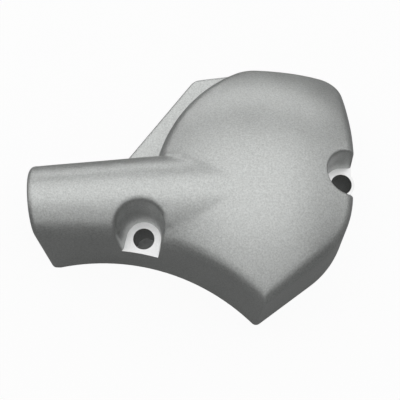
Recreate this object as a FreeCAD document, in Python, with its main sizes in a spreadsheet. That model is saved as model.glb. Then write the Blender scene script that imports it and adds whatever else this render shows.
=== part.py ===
import FreeCAD, Part
import math
import os
import Sketcher

# Cast aluminium cover over an engine's oil pump: a domed hollow body, a half-round tunnel for
# the pump's cable and pipes, a low shelf beside the dome and two screws sunk in cast pockets.
# Frame: Z = 0 is the open rim that meets the engine, +Z points away from it, the origin is the
# axis of the tunnel-side screw and +X runs along the tunnel towards the dome. Millimetres.

SIZES = {
    "wall": 3.0,                 # thickness of the casting
    "draft": 5.5,                # lean of the cast side walls, degrees
    "seat_height": 17.0,         # machined screw seats above the rim
    "shelf_height": 17.0,        # flat shelf beside the dome
    "tunnel_height": 38.1,       # top of the tunnel's round roof at the mouth
    "crown_height": 39.7,        # highest point of the dome
    "crown_radius": 60.0,        # roundness of the dome's top
    "crown_x": 34.0,             # the dome's highest point in plan
    "crown_y": 10.5,
    "crease_round": 3.8,         # hollow blend between the tunnel and the dome
    "rim_round": 6.0,            # rounding between the dome's top and its walls
    "west_radius": 52.2,         # foot of the dome's wall beside the shelf
    "west_end_x": -0.2,
    "west_y": 10.0,
    "west_bend": 24.0,           # the wall turns away under the tunnel with this radius
    "east_x": 65.4,              # far end of the dome's foot
    "nose_radius": 29.6,         # foot of the dome's round end
    "nose_y": 12.2,
    "nose_angle": 37.0,          # direction of the straight wall that ends in the tip, degrees
    "nose_end": 4.5,             # the far wall leaves the round end this much before square
    "waist_y": 27.0,             # where the far wall starts to lean inwards
    "waist_round": 110.0,
    "east_slant": 3.0,           # the far wall's lean in plan, from the waist to the square corner
    "north_cut": 4.6,            # the north wall cuts this much off the west wall's circle
    "north_slant": 0.9,          # the north wall's fall in plan, from the shoulder to the corner
    "north_west_x": 31.0,
    "corner_round": 9.0,
    "shoulder_round": 14.0,
    "tunnel_end_x": -31.4,       # open mouth of the tunnel, at its near side
    "tunnel_south_y": -2.5,      # near side of the tunnel where its roof starts
    "tunnel_lean": 8.6,          # lean of the tunnel's sides, degrees
    "tunnel_mouth_width": 21.9,  # width where the roof starts, at the mouth
    "tunnel_sink": 0.1,          # the roof's line ends this far below the crown
    "tunnel_spread": 6.5,        # the far side opens by this angle towards the dome, degrees
    "mouth_round": 1.8,          # rounding of the mouth's outer edge
    "shelf_angle": 52.7,         # direction of the shelf's long edge, degrees
    "shelf_corner_x": 13.7,
    "shelf_set_back": 3.6,       # the shelf's corner lies this much nearer than the north wall
    "shelf_end_angle": 8.2,      # direction of the shelf's short edge, degrees
    "shelf_round": 4.5,
    "shelf_edge": 0.8,           # rounding of the shelf's upper edge
    "hollow_radius": 70.0,       # concave side that clears the round cover beside this one
    "hollow_x": -13.0,
    "hollow_y": -75.2,
    "screw_hole": 6.6,           # clearance for an M6 screw
    "screw_lip": 0.9,            # metal left around the far hole, where it stands out of the wall
    "seat_width": 10.6,          # machined seat for the screw's head
    "seat_flare": 2.0,           # widening of the seat towards the side wall, degrees
    "seat_reach": 12.0,          # from the screw's axis to well outside the wall
    "pillar_radius": 9.5,        # solid metal around each screw and its pocket
    "seat_draft": 6.0,           # lean of the cast pocket above a seat, degrees
    "seat_round": 1.8,           # rounding of the tunnel-side pocket's rim
    "far_seat_round": 0.8,       # and of the far pocket's rim
    "far_screw_x": 61.4,
    "far_screw_y": 18.4,
}

doc = FreeCAD.newDocument("cover")
sheet = doc.addObject("Spreadsheet::Sheet", "sizes")
for row, (name, value) in enumerate(SIZES.items(), start=1):
    sheet.set(f"A{row}", name)
    sheet.set(f"B{row}", str(value))
    sheet.setAlias(f"B{row}", name)
doc.recompute()
size = {name: float(sheet.get(name)) for name in SIZES}


def spot(x, y, z=0):
    return FreeCAD.Vector(x, y, z)


def heading(degrees):
    return spot(math.cos(math.radians(degrees)), math.sin(math.radians(degrees)))


def meet(p, p_angle, q, q_angle):
    """Where the line through p at one angle crosses the line through q at another."""
    u, v = heading(p_angle), heading(q_angle)
    along = ((q - p).cross(v)).z / (u.cross(v)).z
    return p + u * along


def shifted(p, angle, inset):
    """A point on the line through p, after the line has moved to its left by inset."""
    return p + heading(angle + 90) * inset


def crossing(centre, radius, p, angle):
    """Where the line through p at an angle leaves a circle."""
    u = heading(angle)
    foot = p + u * (centre - p).dot(u)
    return foot + u * math.sqrt(radius ** 2 - (foot - centre).Length ** 2)


def angle_of(p, q):
    return math.degrees(math.atan2(q.y - p.y, q.x - p.x))


def new_body(name):
    return doc.addObject("PartDesign::Body", name)


def plane(body, role):
    return next(p for p in body.Origin.OriginFeatures if p.Role == role)


def sketch(body, name, role="XY_Plane", offset=("0", "0", "0")):
    """Sketch on one of the body's planes. The offset is along the sketch's own X, Y and normal."""
    drawing = body.newObject("Sketcher::SketchObject", f"{body.Name}_{name}")
    drawing.AttachmentSupport = [(plane(body, role), "")]
    drawing.MapMode = "FlatFace"
    for axis, value in zip("xyz", offset):
        drawing.setExpression(f"AttachmentOffset.Base.{axis}", value)
    return drawing


def outline(drawing, corners, bends=None):
    """Closed outline through corners. A bend makes the side after that corner an arc: its centre."""
    bends = bends or {}
    for i, p in enumerate(corners):
        q = corners[(i + 1) % len(corners)]
        if i in bends:
            centre = bends[i]
            out = (p + q) * 0.5 - centre
            if out.Length < 0.001:
                out = spot(q.y - p.y, p.x - q.x)
            middle = centre + out.normalize() * (p - centre).Length
            drawing.addGeometry(Part.Arc(p, middle, q), False)
        else:
            drawing.addGeometry(Part.LineSegment(p, q), False)
        drawing.addConstraint(Sketcher.Constraint("Block", i))


def feature(body, kind, name, **values):
    """Add a feature, bind its sizes to the sheet and stop if it fails."""
    item = body.newObject(f"PartDesign::{kind}", f"{body.Name}_{name}")
    for key, value in values.items():
        if isinstance(value, str) and key not in ("Type", "Midplane"):
            item.setExpression(key, value)
        else:
            setattr(item, key, value)
    doc.recompute()
    if "Invalid" in item.State or "Error" in item.State or item.Shape.isNull():
        raise RuntimeError(f"{item.Name} failed")
    return item


def drafted_pad(body, name, drawing, height):
    """Upright block, the first of its body, whose sides lean inwards by the casting's draft."""
    block = feature(body, "Pad", name, Profile=drawing, Length=height)
    sides = [f"Face{i}" for i, face in enumerate(block.Shape.Faces, start=1)
             if abs(face.normalAt(0, 0).z) < 0.5]
    return feature(body, "Draft", name + "_lean", Base=(block, sides), Angle="sizes.draft",
                   NeutralPlane=(plane(body, "XY_Plane"), [""]))


def rounded(body, name, radius, chosen):
    """Round the edges of the body's last shape that a test picks."""
    last = body.Tip
    edges = [f"Edge{i}" for i, edge in enumerate(last.Shape.Edges, start=1) if chosen(edge)]
    return feature(body, "Fillet", name, Base=(last, edges), Radius=radius)


def join(body, name, tools, kind):
    item = body.newObject("PartDesign::Boolean", f"{body.Name}_{name}")
    item.Type = kind
    item.Refine = True
    item.setObjects(tools)
    doc.recompute()


def upright(edge):
    """True for the leaning corner edges between two side walls."""
    box = edge.BoundBox
    return box.ZLength > 3 * max(box.XLength, box.YLength)


def faces_at(body, edge):
    """The two faces of the body's last shape that meet at an edge."""
    return [f for f in body.Tip.Shape.Faces if any(e.isSame(edge) for e in f.Edges)]


def near(edge, x, y, reach):
    centre = edge.CenterOfMass
    return math.hypot(centre.x - x, centre.y - y) < reach


def ball(body, inset):
    """Ball whose top is the dome's crown. Its poles lie beside the cover, not in it."""
    radius = size["crown_radius"] - inset
    half = sketch(body, "half", "XY_Plane",
                  ("sizes.crown_x", "sizes.crown_y", "sizes.crown_height - sizes.crown_radius"))
    outline(half, [spot(0, -radius), spot(0, radius)], {0: spot(0, 0)})
    feature(body, "Revolution", "ball", Profile=half, Angle=360.0,
            ReferenceAxis=(half, ["V_Axis"]))


def north_wall():
    """Place of the dome's north wall at its shoulder."""
    return size["west_y"] + size["west_radius"] - size["north_cut"]


def walls(body, inset):
    """Block with the dome's plan and leaning walls, higher than the dome."""
    nose = spot(size["east_x"] - size["nose_radius"], size["nose_y"])
    west = spot(size["west_end_x"] + size["west_radius"], size["west_y"])
    nose_radius = size["nose_radius"] - inset
    west_radius = size["west_radius"] - inset
    tip_angle = size["nose_angle"]
    out_of_tip = nose + heading(tip_angle - 90) * nose_radius
    east = nose + heading(-size["nose_end"]) * nose_radius
    out_angle = 90 - size["nose_end"]
    south = size["hollow_y"] + size["hollow_radius"] / 2
    outer_waist = meet(east + heading(-size["nose_end"]) * inset, out_angle,
                       spot(0, size["waist_y"]), 0)
    north_west = spot(size["north_west_x"], north_wall())
    north_east = spot(outer_waist.x - size["east_slant"], north_west.y - size["north_slant"])
    east_angle = angle_of(outer_waist, north_east)
    north_angle = angle_of(north_east, north_west)
    east_line = shifted(north_east, east_angle, inset)
    north_line = shifted(north_east, north_angle, inset)
    bend = spot(west.x - size["west_radius"] - size["west_bend"], west.y)
    bend_end = bend - spot(0, size["west_bend"] + inset)
    corners = [
        bend_end,
        spot(bend_end.x, south),
        meet(spot(0, south), 0, out_of_tip, tip_angle),
        out_of_tip,
        east,
        meet(east, out_angle, east_line, east_angle),
        meet(east_line, east_angle, north_line, north_angle),
        crossing(west, west_radius, north_line, north_angle),
        spot(west.x - west_radius, west.y),
    ]
    foot = sketch(body, "foot")
    outline(foot, corners, {3: nose, 7: west, 8: bend})
    drafted_pad(body, "wall", foot, "sizes.crown_height + sizes.wall")
    waist, far_corner, shoulder = corners[5:8]
    rounded(body, "waist", f"sizes.waist_round - {inset}",
            lambda e: upright(e) and near(e, waist.x, waist.y, 5))
    rounded(body, "far_corner", f"sizes.corner_round - {inset}",
            lambda e: upright(e) and near(e, far_corner.x, far_corner.y, 5))
    rounded(body, "shoulder", f"sizes.shoulder_round - {inset}",
            lambda e: upright(e) and near(e, shoulder.x, shoulder.y, 5))


def tunnel(body, inset):
    """Half-round tunnel on leaning sides. It widens and rises until it meets the crown."""
    near_y = size["tunnel_south_y"]
    end_x = size["tunnel_end_x"]
    top = size["crown_height"] - size["tunnel_sink"]
    drop = top - size["tunnel_height"]
    lean = math.radians(size["tunnel_lean"])
    spread = math.tan(math.radians(size["tunnel_spread"]))

    def section(name, x):
        half = (size["tunnel_mouth_width"] + (x - end_x) * spread) / 2
        crest = top - drop * (size["crown_x"] - x) / (size["crown_x"] - end_x)
        centre = spot(near_y + half, crest - half / math.cos(lean))
        radius = half / math.cos(lean) - inset
        reach = spot(radius * math.cos(lean), 0)
        rise = spot(0, radius * math.sin(lean))
        base = spot(centre.x, 0)
        foot = spot(radius / math.cos(lean) + centre.y * math.tan(lean), 0)
        drawing = sketch(body, name, "YZ_Plane", ("0", "0", str(x)))
        drawing.addGeometry(Part.LineSegment(base + foot, base - foot), False)
        drawing.addGeometry(Part.LineSegment(base - foot, centre - reach + rise), False)
        drawing.addGeometry(Part.Arc(centre - reach + rise, centre + spot(0, radius),
                                     centre + reach + rise), False)
        drawing.addGeometry(Part.LineSegment(centre + reach + rise, base + foot), False)
        for i in range(4):
            drawing.addConstraint(Sketcher.Constraint("Block", i))
        return drawing

    outside = section("outside", end_x * 1.2)
    root = section("root", size["crown_x"])
    doc.recompute()
    feature(body, "AdditiveLoft", "sides", Profile=outside, Sections=[root])


def trim_tunnel(body):
    """Cut the tunnel off square to its far side at the mouth, and inside the dome."""
    mouth = spot(size["tunnel_end_x"], size["tunnel_south_y"])
    along = heading(90 + size["tunnel_spread"]) * 60
    out = spot(-40, 0)
    beyond = sketch(body, "beyond_mouth")
    outline(beyond, [mouth - along, mouth + along, mouth + along + out, mouth - along + out])
    feature(body, "Pocket", "mouth_cut", Profile=beyond, Type=1, Midplane=True)
    inner_x = size["west_end_x"] + 2.0 * size["rim_round"]
    inside = sketch(body, "inside_dome")
    outline(inside, [spot(inner_x, -60), spot(inner_x + 60, -60), spot(inner_x + 60, 60),
                     spot(inner_x, 60)])
    feature(body, "Pocket", "inner_cut", Profile=inside, Type=1, Midplane=True)


def shelf(body, inset, height):
    """Low flat shelf in the corner between the tunnel and the dome."""
    corner = spot(size["shelf_corner_x"], north_wall() - size["shelf_set_back"])
    long_angle = size["shelf_angle"]
    end_angle = size["shelf_end_angle"]
    long_line = shifted(corner, long_angle, -inset)
    end_line = shifted(corner, end_angle, -inset)
    low_y = 20.0
    far_x = size["north_west_x"] - inset
    drawing = sketch(body, "foot")
    corner = meet(long_line, long_angle, end_line, end_angle)
    outline(drawing, [
        corner,
        meet(long_line, long_angle, spot(0, low_y), 0),
        spot(far_x, low_y),
        meet(spot(far_x, 0), 90, end_line, end_angle),
    ])
    drafted_pad(body, "block", drawing, height)
    rounded(body, "corner", "sizes.shelf_round",
            lambda e: upright(e) and near(e, corner.x, corner.y, 5))
    if not inset:
        rounded(body, "edge", "sizes.shelf_edge",
                lambda e: e.BoundBox.ZMin > 10 and near(e, corner.x, corner.y, 25)
                and e.BoundBox.YMin > low_y + 0.1)


def hollow(body, inset, name=""):
    """Conical cut that leaves the concave near side."""
    lean = math.tan(math.radians(size["draft"]))
    radius = size["hollow_radius"] + inset
    top = size["crown_height"] + size["wall"]
    drawing = sketch(body, name + "hollow", "XZ_Plane", ("sizes.hollow_x", "0", "-sizes.hollow_y"))
    outline(drawing, [
        spot(0, -1),
        spot(radius - lean, -1),
        spot(radius + top * lean, top),
        spot(0, top),
    ])
    return feature(body, "Groove", name + "hollow_cut", Profile=drawing, Angle=360.0,
                   ReferenceAxis=(drawing, ["V_Axis"]))


def rim_of(body, edge, x, y):
    """True for an edge between a screw pocket's side and the surface the pocket is cut into."""
    reach = size["pillar_radius"]

    def pocket(face):
        box = face.BoundBox
        return (face.Surface.TypeId in ("Part::GeomPlane", "Part::GeomCone")
                and box.ZMin > size["seat_height"] - 0.1
                and box.XMin > x - reach and box.XMax < x + reach
                and box.YMin > y - reach and box.YMax < y + reach)

    sides = [pocket(f) for f in faces_at(body, edge)]
    return sorted(sides) == [False, True] and edge.BoundBox.ZMax > size["seat_height"] + 0.1


def crease(body, edge):
    """True for an edge between the dome's ball and the tunnel."""
    kinds = {f.Surface.TypeId for f in faces_at(body, edge)}
    return edge.BoundBox.ZMax > 1 and len(kinds) == 2 and any("Sphere" in k for k in kinds)


def mouth_edge(edge):
    """True for an edge of the tunnel's open end."""
    return edge.BoundBox.XMax < size["tunnel_end_x"] + 1 and edge.BoundBox.ZMax > 1


def top_edge(body, edge):
    """True for an edge between a steep wall and the round top."""
    steep = [abs(f.normalAt(*f.Surface.parameter(edge.CenterOfMass)).z) < 0.2
             for f in faces_at(body, edge)]
    return edge.BoundBox.ZMin > 10 and sorted(steep) == [False, True]


def far_foot():
    """Round foot of the far screw, which stands a little out of the wall."""
    body = new_body("far_foot")
    drawing = circles(body, "round", [(size["far_screw_x"], size["far_screw_y"])],
                      "sizes.screw_hole + 2 * sizes.screw_lip")
    feature(body, "Pad", "foot", Profile=drawing, Length="sizes.seat_height + 1")
    return body


def form(name, inset):
    """The whole outer form, or with an inset the core that hollows it."""
    top = new_body(name + "_top")
    ball(top, inset)
    tunnel(top, inset)
    if not inset:
        rounded(top, "crease_round", "sizes.crease_round", lambda e: crease(top, e))
    body = new_body(name)
    walls(body, inset)
    join(body, "dome", [top], "Common")
    hollow(body, inset)
    if not inset:
        rounded(body, "rim_round", "sizes.rim_round", lambda e: top_edge(body, e))
    pipe = new_body(name + "_tunnel")
    tunnel(pipe, inset)
    if not inset:
        trim_tunnel(pipe)
        join(pipe, "seat", [seat_space("tunnel_seat", 0, 0, out_of_wall)], "Cut")
        rounded(pipe, "seat_round", "sizes.seat_round", lambda e: rim_of(pipe, e, 0, 0))
    ledge = new_body(name + "_shelf")
    shelf(ledge, inset, f"sizes.shelf_height - {inset}")
    forms = [pipe, ledge]
    if not inset:
        forms.append(far_foot())
    join(body, "forms", forms, "Fuse")
    if not inset:
        block = sketch(body, "screw_foot")
        outline(block, [spot(size["hollow_x"], -20), spot(12, -20), spot(12, 2),
                        spot(size["hollow_x"], 2)])
        feature(body, "Pad", "screw_foot_pad", Profile=block, Length="sizes.seat_height")
    hollow(body, inset, "foot_")
    if not inset:
        rounded(body, "mouth_round", "sizes.mouth_round", mouth_edge)
    return body


def seat_space(name, x, y, angle):
    """Space above a screw seat: round behind the screw, open towards the side wall."""
    body = new_body(name)
    across = size["seat_width"] / 2
    flare = math.radians(size["seat_flare"])
    out = size["seat_reach"]
    drawing = sketch(body, "seat", "XY_Plane", (str(x), str(y), "sizes.seat_height"))
    drawing.setExpression("AttachmentOffset.Rotation.Angle", f"{angle}")
    side = spot(-across * math.sin(flare), across * math.cos(flare))
    mouth = side + spot(math.cos(flare), math.sin(flare)) * (out / math.cos(flare))
    outline(drawing, [mouth, side, spot(side.x, -side.y), spot(mouth.x, -mouth.y)], {1: spot(0, 0)})
    block = feature(body, "Pad", "space", Profile=drawing, Length="sizes.crown_height")
    sides = [f"Face{i}" for i, face in enumerate(block.Shape.Faces, start=1)
             if abs(face.normalAt(0, 0).z) < 0.5]
    bottom = next(f"Face{i}" for i, face in enumerate(block.Shape.Faces, start=1)
                  if face.BoundBox.ZMax < size["seat_height"] + 0.1)
    feature(body, "Draft", "space_lean", Base=(block, sides), Angle="sizes.seat_draft",
            NeutralPlane=(block, [bottom]), Reversed=True)
    return body


def circles(body, name, centres, diameter):
    """Sketch of equal circles whose diameter follows the sheet."""
    drawing = sketch(body, name)
    for i, (x, y) in enumerate(centres):
        drawing.addGeometry(Part.Circle(spot(x, y), spot(0, 0, 1), 3.0), False)
        drawing.addConstraint(Sketcher.Constraint("Diameter", i, 6.0))
        drawing.setExpression(f"Constraints[{i}]", diameter)
    doc.recompute()
    return drawing


out_of_wall = angle_of(spot(0, 0), spot(size["hollow_x"], size["hollow_y"]))
cover = form("cover", 0.0)
core = form("core", size["wall"])
screws = [(0, 0), (size["far_screw_x"], size["far_screw_y"])]
pillars = circles(core, "pillars", screws, "2 * sizes.pillar_radius")
feature(core, "Pocket", "pillar_space", Profile=pillars, Type=1, Midplane=True)
join(cover, "inside", [core], "Cut")
seats = [seat_space("near_seat", 0, 0, out_of_wall),
         seat_space("far_seat", size["far_screw_x"], size["far_screw_y"], 0)]
join(cover, "seats", seats, "Cut")
holes = circles(cover, "holes", screws, "sizes.screw_hole")
feature(cover, "Pocket", "screw_holes", Profile=holes, Type=1, Midplane=True)
rounded(cover, "far_seat_round", "sizes.far_seat_round",
        lambda e: rim_of(cover, e, size["far_screw_x"], size["far_screw_y"]))
cover.Label = "oil_pump_cover"
doc.recompute()
for item in doc.Objects:
    if "Invalid" in item.State or "Error" in item.State:
        raise RuntimeError(f"{item.Name} is not valid")
print(cover.Shape.isValid(), len(cover.Shape.Solids), cover.Shape.Volume)
os.makedirs("parts", exist_ok=True)
cover.Shape.exportStep("parts/oil_pump_cover.step")
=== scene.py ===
import math

import bmesh
import bpy
from mathutils import Matrix, Vector


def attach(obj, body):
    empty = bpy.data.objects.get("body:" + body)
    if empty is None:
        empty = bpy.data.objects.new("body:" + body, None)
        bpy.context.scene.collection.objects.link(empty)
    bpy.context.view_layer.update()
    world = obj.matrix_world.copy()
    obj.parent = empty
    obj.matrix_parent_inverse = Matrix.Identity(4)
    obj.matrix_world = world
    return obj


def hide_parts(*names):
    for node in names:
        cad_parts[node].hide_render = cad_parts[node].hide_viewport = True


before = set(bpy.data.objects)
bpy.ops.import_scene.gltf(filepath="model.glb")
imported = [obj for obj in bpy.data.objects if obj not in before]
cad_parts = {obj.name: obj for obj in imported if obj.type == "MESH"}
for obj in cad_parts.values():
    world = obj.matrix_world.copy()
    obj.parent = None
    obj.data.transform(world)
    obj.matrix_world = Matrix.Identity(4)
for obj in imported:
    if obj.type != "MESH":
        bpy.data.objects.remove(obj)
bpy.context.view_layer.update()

MM = 0.001

# The cover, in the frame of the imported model.
WELD = 0.0001 * MM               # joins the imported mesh's loose triangles, and no real points
SCREWS = [Vector((0, 0)), Vector((61.4, 18.4)) * MM]    # axes of the two screw holes
SEAT_HEIGHT = 17 * MM
SEAT_WITHIN = 0.05 * MM          # a face this near the seats' height is on their level
SEAT_UPRIGHT = 0.99              # and faces up where its normal's z is more than this
SEAT_REACH = 9 * MM              # a milled seat lies within this of its hole's axis
SHARP_TURN = math.radians(24)    # a larger turn between faces is shaded as an edge
TIP_START = -16 * MM             # only the tip lies further towards -Y
TIP_TURN = math.radians(35)      # the tip's edges turn more than this
TIP_SHARE = 0.88                 # share of the tall edge that is rounded, from the rim up
TIP_ROUNDING = 1.5 * MM
TIP_STEPS = 5
RIM_LEVEL = 1 * MM               # an edge with an end below this starts at the rim
TALL = 5 * MM                    # and is the tip's tall one where it rises more than this

# The studio.
MIDDLE = Vector((17, 13, 15)) * MM      # the lamps aim here
FLOOR_REACH = 3.0
FLOOR_DROP = 0.02 * MM                  # keeps the floor clear of the rim
HOLE_INSIDE = 5 * MM                    # round a screw hole the floor is dark up to here
HOLE_OUTSIDE = 6 * MM                   # and white from here on
WHITE_SEEN = 0.93                       # share of the floor that glows white to the camera
WHITE_MIRRORED = 0.08                   # and to the metal's reflections

# The camera, as the photograph was taken.
AIM = Vector((17.14, 13.16, 15.0)) * MM
ELEVATION = math.radians(76.6)
DISTANCE = 252 * MM
ROLL = math.radians(1.0)
LENS = 72


class Wire:
    """A shader socket that takes part in plain arithmetic."""

    def __init__(self, tree, socket=None):
        self.tree, self.socket = tree, socket

    def make(self, kind, settings=None, out=0, **values):
        """Add a node, set its settings first, then its sockets' values or links.

        A socket goes by its label, with _ for a space, or by i and its number.
        """
        node = self.tree.nodes.new(kind)
        for key, value in (settings or {}).items():
            setattr(node, key, value)
        for key, value in values.items():
            socket = node.inputs[int(key[1:]) if key[1:].isdigit() else key.replace("_", " ")]
            if isinstance(value, Wire):
                self.tree.links.new(value.socket, socket)
            else:
                socket.default_value = value
        return Wire(self.tree, node.outputs[out] if node.outputs else None)

    def math(self, operation, a, b):
        return self.make("ShaderNodeMath", {"operation": operation}, i0=a, i1=b)

    def __add__(self, other):
        return self.math("ADD", self, other)

    def __sub__(self, other):
        return self.math("SUBTRACT", self, other)

    def __rsub__(self, other):
        return self.math("SUBTRACT", other, self)

    def __mul__(self, other):
        return self.math("MULTIPLY", self, other)

    __radd__, __rmul__ = __add__, __mul__

    def above(self, low, high):
        """0 below low, 1 above high and smooth between them."""
        return self.make("ShaderNodeMapRange", {"interpolation_type": "SMOOTHSTEP"},
                         Value=self, From_Min=low, From_Max=high)

    def mix(self, a, b):
        """Colour a where this is 0, colour b where it is 1."""
        return self.make("ShaderNodeMix", {"data_type": "RGBA"}, out=2, i0=self, i6=a, i7=b)


def empty(holder):
    """Clear a material's or world's nodes, and give the wire that its new ones start from."""
    holder.use_nodes = True
    holder.node_tree.nodes.clear()
    return Wire(holder.node_tree)


def new_material(name):
    material = bpy.data.materials.new(name)
    return material, empty(material)


def add_to_scene(thing):
    bpy.context.scene.collection.objects.link(thing)
    return thing


def mesh_object(name, work, *materials):
    """An object made of a bmesh, which is freed."""
    mesh = bpy.data.meshes.new(name)
    work.to_mesh(mesh)
    work.free()
    for material in materials:
        mesh.materials.append(material)
    return add_to_scene(bpy.data.objects.new(name, mesh))


def grey(level):
    return (level, level, level, 1.0)


def tint(level):
    """The casting's grey, a touch towards green."""
    return (level * 0.985, level * 1.008, level * 0.99, 1.0)


def blasted_casting():
    """Aluminium casting under a fine blasted, satin skin."""
    material, start = new_material("blasted_casting")
    place = start.make("ShaderNodeTexCoord", out="Object")
    speck = start.make("ShaderNodeTexNoise", Vector=place, Scale=1900.0, Detail=3.0, Roughness=0.7)
    pits = start.make("ShaderNodeTexVoronoi", Vector=place, Scale=2400.0)
    cloud = start.make("ShaderNodeTexNoise", Vector=place, Scale=90.0, Detail=3.0, Roughness=0.55)
    # Each pattern is taken about its own mean, so the shade stays about its middle, 0.5.
    shade = (speck - 0.5) * 1.5 + (pits - 0.45) * 0.35 + (cloud - 0.5) * 0.25 + 0.5
    skin = shade.above(0.0, 1.0).mix(tint(0.47), tint(0.7))
    soft_edge = start.make("ShaderNodeBevel", {"samples": 6}, Radius=0.6 * MM)
    bump = start.make("ShaderNodeBump", Strength=0.5, Distance=0.08 * MM,
                      Height=speck + pits * 0.4, Normal=soft_edge)
    shader = start.make("ShaderNodeBsdfPrincipled", Base_Color=skin, Metallic=1.0,
                        Roughness=0.45 + (cloud - 0.5) * 0.1 + (speck - 0.5) * 0.1, Normal=bump)
    start.make("ShaderNodeOutputMaterial", Surface=shader)
    return material


def milled_seat():
    """Bright face left by the seat cutter, with a fine grain."""
    material, start = new_material("milled_seat")
    place = start.make("ShaderNodeTexCoord", out="Object")
    fine = start.make("ShaderNodeTexNoise", Vector=place, Scale=1700.0, Detail=2.0)
    bump = start.make("ShaderNodeBump", Strength=0.2, Distance=0.03 * MM, Height=fine)
    shader = start.make("ShaderNodeBsdfPrincipled", Base_Color=fine.mix(grey(0.76), grey(0.9)),
                        Metallic=1.0, Roughness=0.3, Normal=bump)
    start.make("ShaderNodeOutputMaterial", Surface=shader)
    return material


def rise(edge):
    return abs(edge.verts[0].co.z - edge.verts[1].co.z)


def tip_edges(work):
    """Outward edges of the tip, where the hollow side meets the straight wall."""
    return [e for e in work.edges
            if e.is_manifold and e.is_convex and e.calc_face_angle(0.0) > TIP_TURN
            and all(v.co.y < TIP_START for v in e.verts)]


def soften_tip(work):
    """Round the tip's upright edge, up to a little below the rounded top that it runs into."""
    tall = max(tip_edges(work), key=rise)
    upward = tall.verts[0].co.z < tall.verts[1].co.z
    bmesh.ops.subdivide_edges(work, edges=[tall], cuts=1,
                              edge_percents={tall: TIP_SHARE if upward else 1 - TIP_SHARE})
    low = [e for e in tip_edges(work)
           if min(v.co.z for v in e.verts) < RIM_LEVEL and rise(e) > TALL]
    bmesh.ops.bevel(work, geom=low, offset=TIP_ROUNDING, offset_type="OFFSET",
                    segments=TIP_STEPS, profile=0.5, affect="EDGES", material=-1,
                    clamp_overlap=False)


def on_milled_seat(face):
    centre = face.calc_center_median()
    level = abs(centre.z - SEAT_HEIGHT) < SEAT_WITHIN and face.normal.z > SEAT_UPRIGHT
    return level and min((centre.xy - screw).length for screw in SCREWS) < SEAT_REACH


def dressed_casting():
    """The casting's own form, welded and smoothly shaded, with its milled seats picked out."""
    work = bmesh.new()
    work.from_mesh(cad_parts["oil_pump_cover"].data)
    bmesh.ops.remove_doubles(work, verts=work.verts, dist=WELD)
    soften_tip(work)
    for face in work.faces:
        face.smooth = True
        face.material_index = int(on_milled_seat(face))
    for edge in work.edges:
        edge.smooth = edge.is_manifold and edge.calc_face_angle(0.0) < SHARP_TURN
    piece = mesh_object("cover_casting", work, blasted_casting(), milled_seat())
    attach(piece, "root")
    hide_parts("oil_pump_cover")


def panel(name, tilt, towards, distance, width, height, radiance):
    """Soft lamp, tilted from straight up towards a compass direction (0 is +X, 90 is +Y).

    Its face looks as bright as the radiance given.
    """
    data = bpy.data.lights.new(name, "AREA")
    data.shape = "RECTANGLE"
    data.size, data.size_y = width, height
    data.energy = radiance * math.pi * width * height
    lamp = add_to_scene(bpy.data.objects.new(name, data))
    leaning = Matrix.Rotation(math.radians(tilt), 3, "Y") @ Vector((0, 0, distance))
    offset = Matrix.Rotation(math.radians(towards), 3, "Z") @ leaning
    lamp.location = MIDDLE + offset
    lamp.rotation_mode = "QUATERNION"
    lamp.rotation_quaternion = (-offset).to_track_quat("-Z", "Y")


def studio_world():
    """A dim grey room that the camera sees as white."""
    world = bpy.data.worlds.new("studio")
    bpy.context.scene.world = world
    start = empty(world)
    seen = start.make("ShaderNodeLightPath", out="Is Camera Ray")
    dim = start.make("ShaderNodeBackground", Color=grey(0.05), Strength=1.0)
    white = start.make("ShaderNodeBackground", Color=grey(1.0), Strength=1.0)
    start.make("ShaderNodeOutputWorld",
               Surface=start.make("ShaderNodeMixShader", i0=seen, i1=dim, i2=white))


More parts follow.
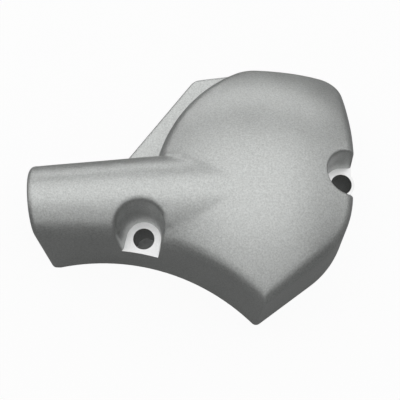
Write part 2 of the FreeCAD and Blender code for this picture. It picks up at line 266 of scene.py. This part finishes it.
def pale_floor():
    """White where the camera sees it outside the screw holes, with the cover's shadow.

    The metal mirrors only a little of that white.
    """
    material, start = new_material("pale_floor")
    place = start.make("ShaderNodeTexCoord", out="Object")
    seen = (start.make("ShaderNodeLightPath", out="Is Camera Ray")
            + start.make("ShaderNodeLightPath", out="Is Transmission Ray"))
    mirrored = start.make("ShaderNodeLightPath", out="Is Glossy Ray")
    away = [start.make("ShaderNodeVectorMath", {"operation": "DISTANCE"}, out="Value",
                       i0=place, i1=(*screw, 0.0)) for screw in SCREWS]
    near, far = (distance.above(HOLE_INSIDE, HOLE_OUTSIDE) for distance in away)
    plain = start.make("ShaderNodeBsdfDiffuse", Color=seen.mix(grey(0.14), grey(0.95)))
    lit = start.make("ShaderNodeEmission", Color=grey(1.0), Strength=1.0)
    share = near * far * seen * WHITE_SEEN + mirrored * WHITE_MIRRORED
    start.make("ShaderNodeOutputMaterial",
               Surface=start.make("ShaderNodeMixShader", i0=share, i1=plain, i2=lit))
    return material


def studio_floor():
    sheet = bmesh.new()
    bmesh.ops.create_grid(sheet, x_segments=1, y_segments=1, size=FLOOR_REACH)
    bmesh.ops.translate(sheet, verts=sheet.verts, vec=(0, 0, -FLOOR_DROP))
    floor = mesh_object("floor", sheet, pale_floor())


def studio_camera():
    back = Vector((0, -math.cos(ELEVATION), math.sin(ELEVATION)))
    data = bpy.data.cameras.new("camera")
    data.lens = LENS
    data.clip_start = 0.01
    camera = add_to_scene(bpy.data.objects.new("camera", data))
    camera.location = AIM + back * DISTANCE
    camera.rotation_mode = "QUATERNION"
    level = (-back).to_track_quat("-Z", "Y").to_matrix()
    camera.rotation_quaternion = (level @ Matrix.Rotation(ROLL, 3, "Z")).to_quaternion()
    bpy.context.scene.camera = camera


dressed_casting()

panel("overhead", tilt=22, towards=90, distance=0.9, width=1.5, height=1.25, radiance=1.06)
panel("front_roof", tilt=31, towards=-90, distance=1.0, width=1.5, height=0.8, radiance=0.64)
panel("front_low", tilt=66, towards=-90, distance=1.0, width=1.4, height=0.3, radiance=0.75)
panel("far_side", tilt=88, towards=90, distance=1.0, width=1.6, height=0.4, radiance=2.0)
panel("dome_side", tilt=72, towards=15, distance=1.0, width=1.0, height=0.6, radiance=0.75)
panel("tunnel_side", tilt=68, towards=165, distance=1.0, width=1.0, height=0.7, radiance=0.8)

studio_world()
studio_floor()
studio_camera()
bpy.context.scene.view_settings.view_transform = "Standard"
